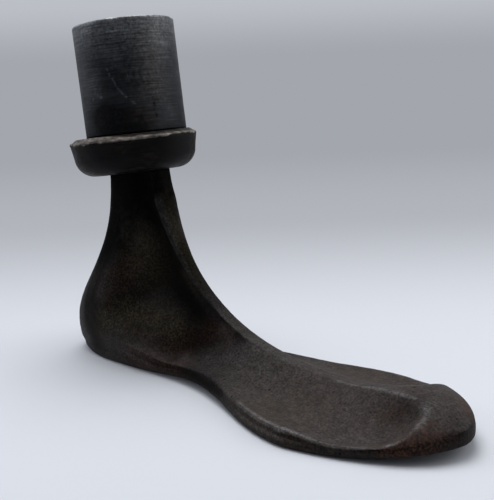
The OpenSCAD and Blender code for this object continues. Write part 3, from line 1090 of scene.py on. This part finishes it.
@dataclass(frozen=True)
class Line:
    """A drawn-out mark on the spigot's wall, through places of a height and a turn."""

    mark: Mark
    places: tuple[tuple[float, float], ...]
    width: float
    strength: float = 1.0
    broken: bool = True
    wander: Ripple = Ripple(2.2, 4.4)
    wander_reach: float = 0.5
    gaps: Ripple = Ripple(1.9, 9.9)
    gap_level: float = 0.45
    gap_contrast: float = 1.5

    def weight(self, points: np.ndarray, radius: float) -> np.ndarray:
        """Tell how strong the mark is.

        Args:
            points: Points in millimetres, one row each.
            radius: Radius of the wall.

        Returns:
            One strength for each point.
        """
        turns = np.arctan2(points[:, 1], points[:, 0])
        heights = points[:, 2] + self.wander_reach * self.wander.at(points)
        unrolled = np.stack([heights, turns * radius], axis=1)
        corners = np.array([(height, math.radians(turn) * radius) for height, turn in self.places])
        weight = self.strength * bump_round(gap_to_path(unrolled, corners), self.width)
        if self.broken:
            weight *= np.clip(self.gap_level + self.gap_contrast * self.gaps.at(points), 0, 1)
        return weight


@dataclass
class Spigot:
    """The turned plug on the collar, with a worn rim, a lathe centre and the marks of use on its wall."""

    node: str = "spigot"
    slot: str = "turned_steel"
    finish: AgedMetal = TURNED_STEEL
    diameter: float = 50.8
    height: float = 54.85
    rim_round: float = 1.0
    rim_steps: int = 4
    centre_mouth: float = 7.0
    centre_depth: float = 5.0
    centre_shares: tuple[float, ...] = (0.04, 0.35, 0.7, 1.0)
    bore_diameter: float = 18.1
    bore_depth: float = 42.5
    tip_radius: float = 0.05
    ring_step: float = 0.55
    foot_step: float = 3.3
    top_step: float = 1.1
    segments: int = 320
    wall_depth: float = 2.0
    waves: Ripple = Ripple(9.0, 2.4)
    waviness: float = 0.06
    # Darker towards the foot: grease and painted shade.
    grease_and_shade: float = 0.7
    grease_and_shade_height: float = 16.0
    bare_rim: float = 0.9
    # Painted sheen near the top.
    top_sheen: float = 0.34
    top_sheen_height: float = 12.0
    knocks: tuple[Knock, ...] = (
        Knock(54.6, -44.7, 2.0, 0.8),
        Knock(55.0, -82.0, 5.0, 0.7),
        Knock(54.8, 40.0, 2.0, 0.5),
        Knock(54.8, 150.0, 2.6, 0.6),
        Knock(27.9, -33.2, 7.0, 0.3),
        Knock(19.0, -80.0, 3.0, 0.2),
        Knock(34.0, 120.0, 5.0, 0.25),
    )
    lines: tuple[Line, ...] = (
        Line(Mark.SCRATCH_AND_GLINT, ((50.6, -74), (49.7, -60), (48.4, -48), (48.0, -30), (46.1, -12)), 0.35, 0.6),
        Line(Mark.SCRATCH_AND_GLINT, ((52.4, -66), (51.6, -52)), 0.3, 0.5),
        Line(
            Mark.SCRATCH_AND_GLINT,
            ((31.5, -59), (28.0, -57), (22.7, -51), (18.5, -44.5), (15.0, -37), (12.5, -30)),
            0.4,
            0.8,
        ),
        Line(Mark.SCRATCH_AND_GLINT, ((36.0, -50), (33.5, -44), (29.0, -38.5), (23.0, -35)), 0.3, 0.3),
        Line(Mark.SCRATCH_AND_GLINT, ((18.0, -84), (19.5, -76), (18.5, -70)), 0.5, 0.4),
        Line(Mark.SCRATCH_AND_GLINT, ((42.0, 100), (34.0, 112), (28.0, 126), (20.0, 138)), 0.4, 0.7),
        Line(Mark.SCRATCH_AND_GLINT, ((10.0, 190), (14.0, 197), (18.0, 201)), 0.4, 0.6),
        # Painted sheen down the lit sides, broad and unbroken.
        Line(Mark.DUST_AND_SHEEN, ((44.0, -10), (20.0, -12)), 9.0, 1.0, broken=False),
        Line(Mark.DUST_AND_SHEEN, ((42.0, -150), (20.0, -150)), 12.0, 0.8, broken=False),
        Line(Mark.DUST_AND_SHEEN, ((30.0, -78), (18.0, -76)), 7.0, 0.35, broken=False),
        # Soot and grease lines; the broad ones low on the wall are also painted shade.
        Line(Mark.SOOT_AND_SHADE, ((15.1, -12), (6.5, -11)), 0.5, 1.0),
        Line(Mark.SOOT_AND_SHADE, ((31.0, -40), (25.0, -28)), 5.5, 0.6),
        Line(Mark.SOOT_AND_SHADE, ((32.0, -58), (16.0, -56)), 7.0, 0.3, broken=False),
        Line(Mark.SOOT_AND_SHADE, ((9.0, -72), (5.0, -58), (5.0, -40)), 7.0, 1.0, broken=False),
        Line(Mark.SOOT_AND_SHADE, ((10.0, 80), (1.0, 120)), 6.0, 0.8, broken=False),
        Line(Mark.RUST, ((9.0, -29), (5.5, -20)), 4.5, 1.2),
        Line(Mark.RUST, ((14.0, 60), (6.0, 70)), 6.0, 0.8),
    )

    def build(self, seat: Matrix) -> bpy.types.Object:
        """Make the piece and dress it.

        Args:
            seat: Where the plug's underside is, with Z along the leg.

        Returns:
            The spigot's piece.
        """
        mesh = turned_mesh("spigot_plug", self._rings(), self.segments)
        self._batter(mesh)
        self._mark(mesh)
        piece = add_piece("spigot_plug", mesh, self.node, seat)
        self.finish.dress(piece)
        return piece

    def _rings(self) -> list[Ring]:
        """List the rings of the plug.

        Returns:
            Rings from the bore's end, down the bore, up the wall and over the top to the lathe centre.
        """
        bore, wall, mouth = self.bore_diameter / 2, self.diameter / 2, self.centre_mouth / 2
        flat, shoulder = wall - self.rim_round, self.height - self.rim_round
        inside = [Ring(self.tip_radius, self.bore_depth), Ring(bore, self.bore_depth), Ring(bore, 0)]
        foot = [Ring(r, 0) for r in stepped(bore, wall, self.foot_step)[1:]]
        side = [Ring(wall, z) for z in stepped(0, shoulder, self.ring_step)[1:]]
        rim = [
            Ring(flat + self.rim_round * math.cos(a), shoulder + self.rim_round * math.sin(a))
            for a in np.linspace(0, math.pi / 2, self.rim_steps + 1)[1:]
        ]
        top = [Ring(r, self.height) for r in stepped(flat, mouth, self.top_step)[1:]]
        centre = [
            Ring(max(self.tip_radius, mouth * (1 - share)), self.height - self.centre_depth * share)
            for share in self.centre_shares
        ]
        return [*inside, *foot, *side, *rim, *top, *centre]

    def _batter(self, mesh: bpy.types.Mesh) -> None:
        """Make the wall slightly uneven, always inward, and knock dents in it.

        Args:
            mesh: The turned mesh, whose points move.
        """
        points = points_of(mesh)
        inward = self.waviness * np.abs(self.waves.at(points))
        for knock in self.knocks:
            angle = math.radians(knock.turn)
            spot = (self.diameter / 2 * math.cos(angle), self.diameter / 2 * math.sin(angle), knock.height)
            inward += knock.depth * bump_round(np.linalg.norm(points - spot, axis=1), knock.reach)
        push_out(mesh, -inward * self._on_wall(points))

    def _on_wall(self, points: np.ndarray) -> np.ndarray:
        """Tell which points are on the outside, wall or rim."""
        return np.hypot(points[:, 0], points[:, 1]) > self.diameter / 2 - self.wall_depth

    def _mark(self, mesh: bpy.types.Mesh) -> None:
        """Store where the wall is scratched, stained, greasy and bare, and its painted sheen and shade.

        Args:
            mesh: The battered mesh, which gets the marks.
        """
        points = points_of(mesh)
        wall, drop = self._on_wall(points), self.height - points[:, 2]
        marks = {
            mark: sum(line.weight(points, self.diameter / 2) for line in self.lines if line.mark is mark)
            for mark in (Mark.SCRATCH_AND_GLINT, Mark.SOOT_AND_SHADE, Mark.RUST, Mark.DUST_AND_SHEEN)
        }
        # Darker towards the foot, partly grease and partly painted shade.
        marks[Mark.SOOT_AND_SHADE] += self.grease_and_shade * np.exp(-points[:, 2] / self.grease_and_shade_height)
        # A painted sheen near the top, then bare metal at the rim.
        marks[Mark.EDGE] = self.top_sheen * bump_round(drop, self.top_sheen_height)
        marks[Mark.EDGE] += bump_round(drop, self.bare_rim)
        for mark, values in marks.items():
            set_mark(mesh, mark, values * wall)


@dataclass(frozen=True)
class Softbox:
    """A large soft lamp that points at the object."""

    name: str
    place: Place
    size: float
    watts: float
    colour: str = "#ffffff"

    def build(self, target: Vector) -> None:
        """Put the lamp in the scene.

        Args:
            target: The place, in metres, that the lamp is turned to.
        """
        light = bpy.data.lights.new(self.name, "AREA")
        light.size = self.size * MM
        light.energy = self.watts
        light.color = linear(self.colour)[:3]
        lamp = bpy.data.objects.new(self.name, light)
        bpy.context.scene.collection.objects.link(lamp)
        lamp.location = Vector(self.place) * MM
        lamp.rotation_euler = (target - lamp.location).to_track_quat("-Z", "Y").to_euler()


@dataclass
class Studio:
    """White paper floor that fades into a grey backdrop, and soft lamps."""

    middle: Place = (65.0, 0.0, 40.0)
    floor_radius: float = 6000.0
    floor_segments: int = 128
    paper: str = "#dcdfe5"
    back_near: str = "#b3b6bd"
    back_low: str = "#a3a6ad"
    back_high: str = "#bcbfc6"
    front: str = "#696b6f"
    back_azimuth: float = 137.94
    fade_behind: Span = (-60.0, 460.0)
    fade_back: Span = (300.0, 1100.0)
    fade_around: Span = (600.0, 1600.0)
    fade_out: Span = (900.0, 3500.0)
    # Parts of a direction of length 1: towards the backdrop, and up.
    turn_back: Span = (-0.5, 0.5)
    rise: Span = (0.0, 0.07)
    softboxes: tuple[Softbox, ...] = (
        Softbox("key", (-110, 130, 880), 600, 4.1),
        Softbox("overhead", (-300, 100, 900), 700, 2.3),
        Softbox("left_window", (-620, -420, 420), 500, 0.9, "#eef2ff"),
        Softbox("right_window", (480, 560, 380), 640, 1.7),
    )

    def build(self) -> None:
        """Make the floor, the lamps and the world."""
        circle = bmesh.new()
        bmesh.ops.create_circle(
            circle, cap_ends=True, segments=self.floor_segments, radius=self.floor_radius * MM
        )
        mesh = bpy.data.meshes.new("paper_floor")
        circle.to_mesh(mesh)
        circle.free()
        mesh.materials.append(self._paper())
        floor = bpy.data.objects.new("paper_floor", mesh)
        bpy.context.scene.collection.objects.link(floor)
        for softbox in self.softboxes:
            softbox.build(Vector(self.middle) * MM)
        self._world()

    def _back(self) -> Place:
        """Direction from the camera's side to the backdrop, along the floor."""
        angle = math.radians(self.back_azimuth)
        return math.cos(angle), math.sin(angle), 0.0

    def _paper(self) -> bpy.types.Material:
        """Make the floor's material.

        Returns:
            White paper that keeps the object's shadow, and shows the backdrop's colour further away.
        """
        material = bpy.data.materials.new("white_paper")
        tree = cleared_tree(material)
        coords = add_node(tree, "ShaderNodeTexCoord").outputs["Object"]
        middle = (self.middle[0] * MM, self.middle[1] * MM, 0.0)
        offset = add_node(
            tree, "ShaderNodeVectorMath", {0: coords, 1: middle}, operation="SUBTRACT"
        ).outputs["Vector"]
        around = add_node(tree, "ShaderNodeVectorMath", {0: offset}, operation="LENGTH").outputs["Value"]
        behind = add_node(
            tree, "ShaderNodeVectorMath", {0: offset, 1: self._back()}, operation="DOT_PRODUCT"
        ).outputs["Value"]
        far_behind, far_back, far_around, far_out = (
            add_node(
                tree,
                "ShaderNodeMapRange",
                {"Value": distance, "From Min": near * MM, "From Max": far * MM},
                interpolation_type="SMOOTHSTEP",
            ).outputs["Result"]
            for distance, (near, far) in (
                (behind, self.fade_behind),
                (behind, self.fade_back),
                (around, self.fade_around),
                (around, self.fade_out),
            )
        )
        rays = add_node(tree, "ShaderNodeLightPath").outputs
        mirrored, far, farthest = (
            add_node(tree, "ShaderNodeMath", {0: first, 1: second}, operation="MAXIMUM").outputs["Value"]
            for first, second in (
                (rays["Is Glossy Ray"], rays["Is Transmission Ray"]),
                (far_behind, far_around),
                (far_back, far_out),
            )
        )
        seen = add_node(
            tree, "ShaderNodeMath", {0: rays["Is Camera Ray"], 1: mirrored}, operation="MAXIMUM"
        ).outputs["Value"]
        factor = add_node(tree, "ShaderNodeMath", {0: far, 1: seen}, operation="MULTIPLY").outputs["Value"]
        away = add_node(tree, "ShaderNodeVectorMath", {0: offset}, operation="NORMALIZE").outputs["Vector"]
        mix = {
            MixSocket.FACTOR: farthest,
            MixSocket.FIRST: linear(self.back_near),
            MixSocket.SECOND: self._backdrop(tree, away),
        }
        shown = add_node(tree, "ShaderNodeMix", mix, data_type="RGBA").outputs[MixSocket.RESULT]
        glow = add_node(tree, "ShaderNodeEmission", {"Color": shown}).outputs["Emission"]
        paper = add_node(tree, "ShaderNodeBsdfDiffuse", {"Color": linear(self.paper)}).outputs["BSDF"]
        mixed = add_node(tree, "ShaderNodeMixShader", {0: factor, 1: paper, 2: glow}).outputs["Shader"]
        add_node(tree, "ShaderNodeOutputMaterial", {"Surface": mixed})
        return material

    def _backdrop(self, tree: bpy.types.NodeTree, direction: Socket) -> Socket:
        """Add the backdrop's colour in a direction.

        Args:
            tree: The node tree that gets the nodes.
            direction: The direction, with length 1.

        Returns:
            A colour that is pale behind the object, paler higher up, and grey in front of it.
        """
        facing = add_node(
            tree, "ShaderNodeVectorMath", {0: direction, 1: self._back()}, operation="DOT_PRODUCT"
        ).outputs["Value"]
        height = add_node(tree, "ShaderNodeSeparateXYZ", {"Vector": direction}).outputs["Z"]
        raised, backward = (
            add_node(
                tree,
                "ShaderNodeMapRange",
                {"Value": value, "From Min": low, "From Max": high},
                interpolation_type="SMOOTHSTEP",
            ).outputs["Result"]
            for value, (low, high) in ((height, self.rise), (facing, self.turn_back))
        )
        colour: Socket | Colour = linear(self.back_high)
        for factor, other in ((raised, self.back_low), (backward, self.front)):
            mix = {MixSocket.FACTOR: factor, MixSocket.FIRST: linear(other), MixSocket.SECOND: colour}
            colour = add_node(tree, "ShaderNodeMix", mix, data_type="RGBA").outputs[MixSocket.RESULT]
        return colour

    def _world(self) -> None:
        """Light the scene softly from the backdrop."""
        world = bpy.data.worlds.new("backdrop")
        tree = cleared_tree(world)
        direction = add_node(tree, "ShaderNodeTexCoord").outputs["Generated"]
        background = add_node(tree, "ShaderNodeBackground", {"Color": self._backdrop(tree, direction)})
        add_node(tree, "ShaderNodeOutputWorld", {"Surface": background.outputs["Background"]})
        bpy.context.scene.world = world


@dataclass
class PhotoCamera:
    """Camera at the photograph's viewing angle."""

    place: Place = (364.7, -269.0, 148.7)
    azimuth: float = 47.94
    pitch: float = 11.92
    roll: float = -2.0
    focal_pixels: float = 900.3
    sensor: float = 36.0

    def build(self) -> None:
        """Make the camera and look through it."""
        lens = bpy.data.cameras.new("photo_camera")
        lens.sensor_width = self.sensor
        lens.lens = self.focal_pixels / max(PHOTO_SIZE) * self.sensor
        camera = bpy.data.objects.new("photo_camera", lens)
        bpy.context.scene.collection.objects.link(camera)
        aim = Matrix.Translation(Vector(self.place) * MM)
        for angle, axis in ((self.azimuth, "Z"), (90.0 - self.pitch, "X"), (self.roll, "Z")):
            aim @= Matrix.Rotation(math.radians(angle), 4, axis)
        camera.matrix_world = aim
        bpy.context.scene.camera = camera


def collar_top(record: dict[str, Any]) -> Matrix:
    """Find the collar's top face, on which the spigot stands.

    Args:
        record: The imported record, whose spigot mount gives the axis and its place.

    Returns:
        A frame on that face, with Z along the spigot.
    """
    mount = next(m for m in record["mounts"] if m["name"] == "spigot_pin")
    axis = Vector(mount["axis"])
    foot = Vector(mount["pos_m"]) - axis * mount["dims"]["length_mm"] * MM / 2
    return Matrix.Translation(foot) @ Matrix.Rotation(math.atan2(axis.x, axis.z), 4, "Y")


def main() -> None:
    """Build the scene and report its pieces."""
    logging.basicConfig(level=logging.INFO, format="%(name)s: %(message)s")
    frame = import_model()
    bpy.context.scene.view_settings.view_transform = "Standard"
    PhotoCamera().build()
    Studio().build()

    collar, top = Collar(), collar_top(frame["record"])
    under = top @ Matrix.Translation((0, 0, -collar.height * MM))
    for piece in (LastCasting().build(frame), collar.build(under), Spigot().build(top)):
        LOG.info("%s: %d faces, %s", piece.name, len(piece.data.polygons), piece.active_material.name)


if __name__ == "__main__":
    main()
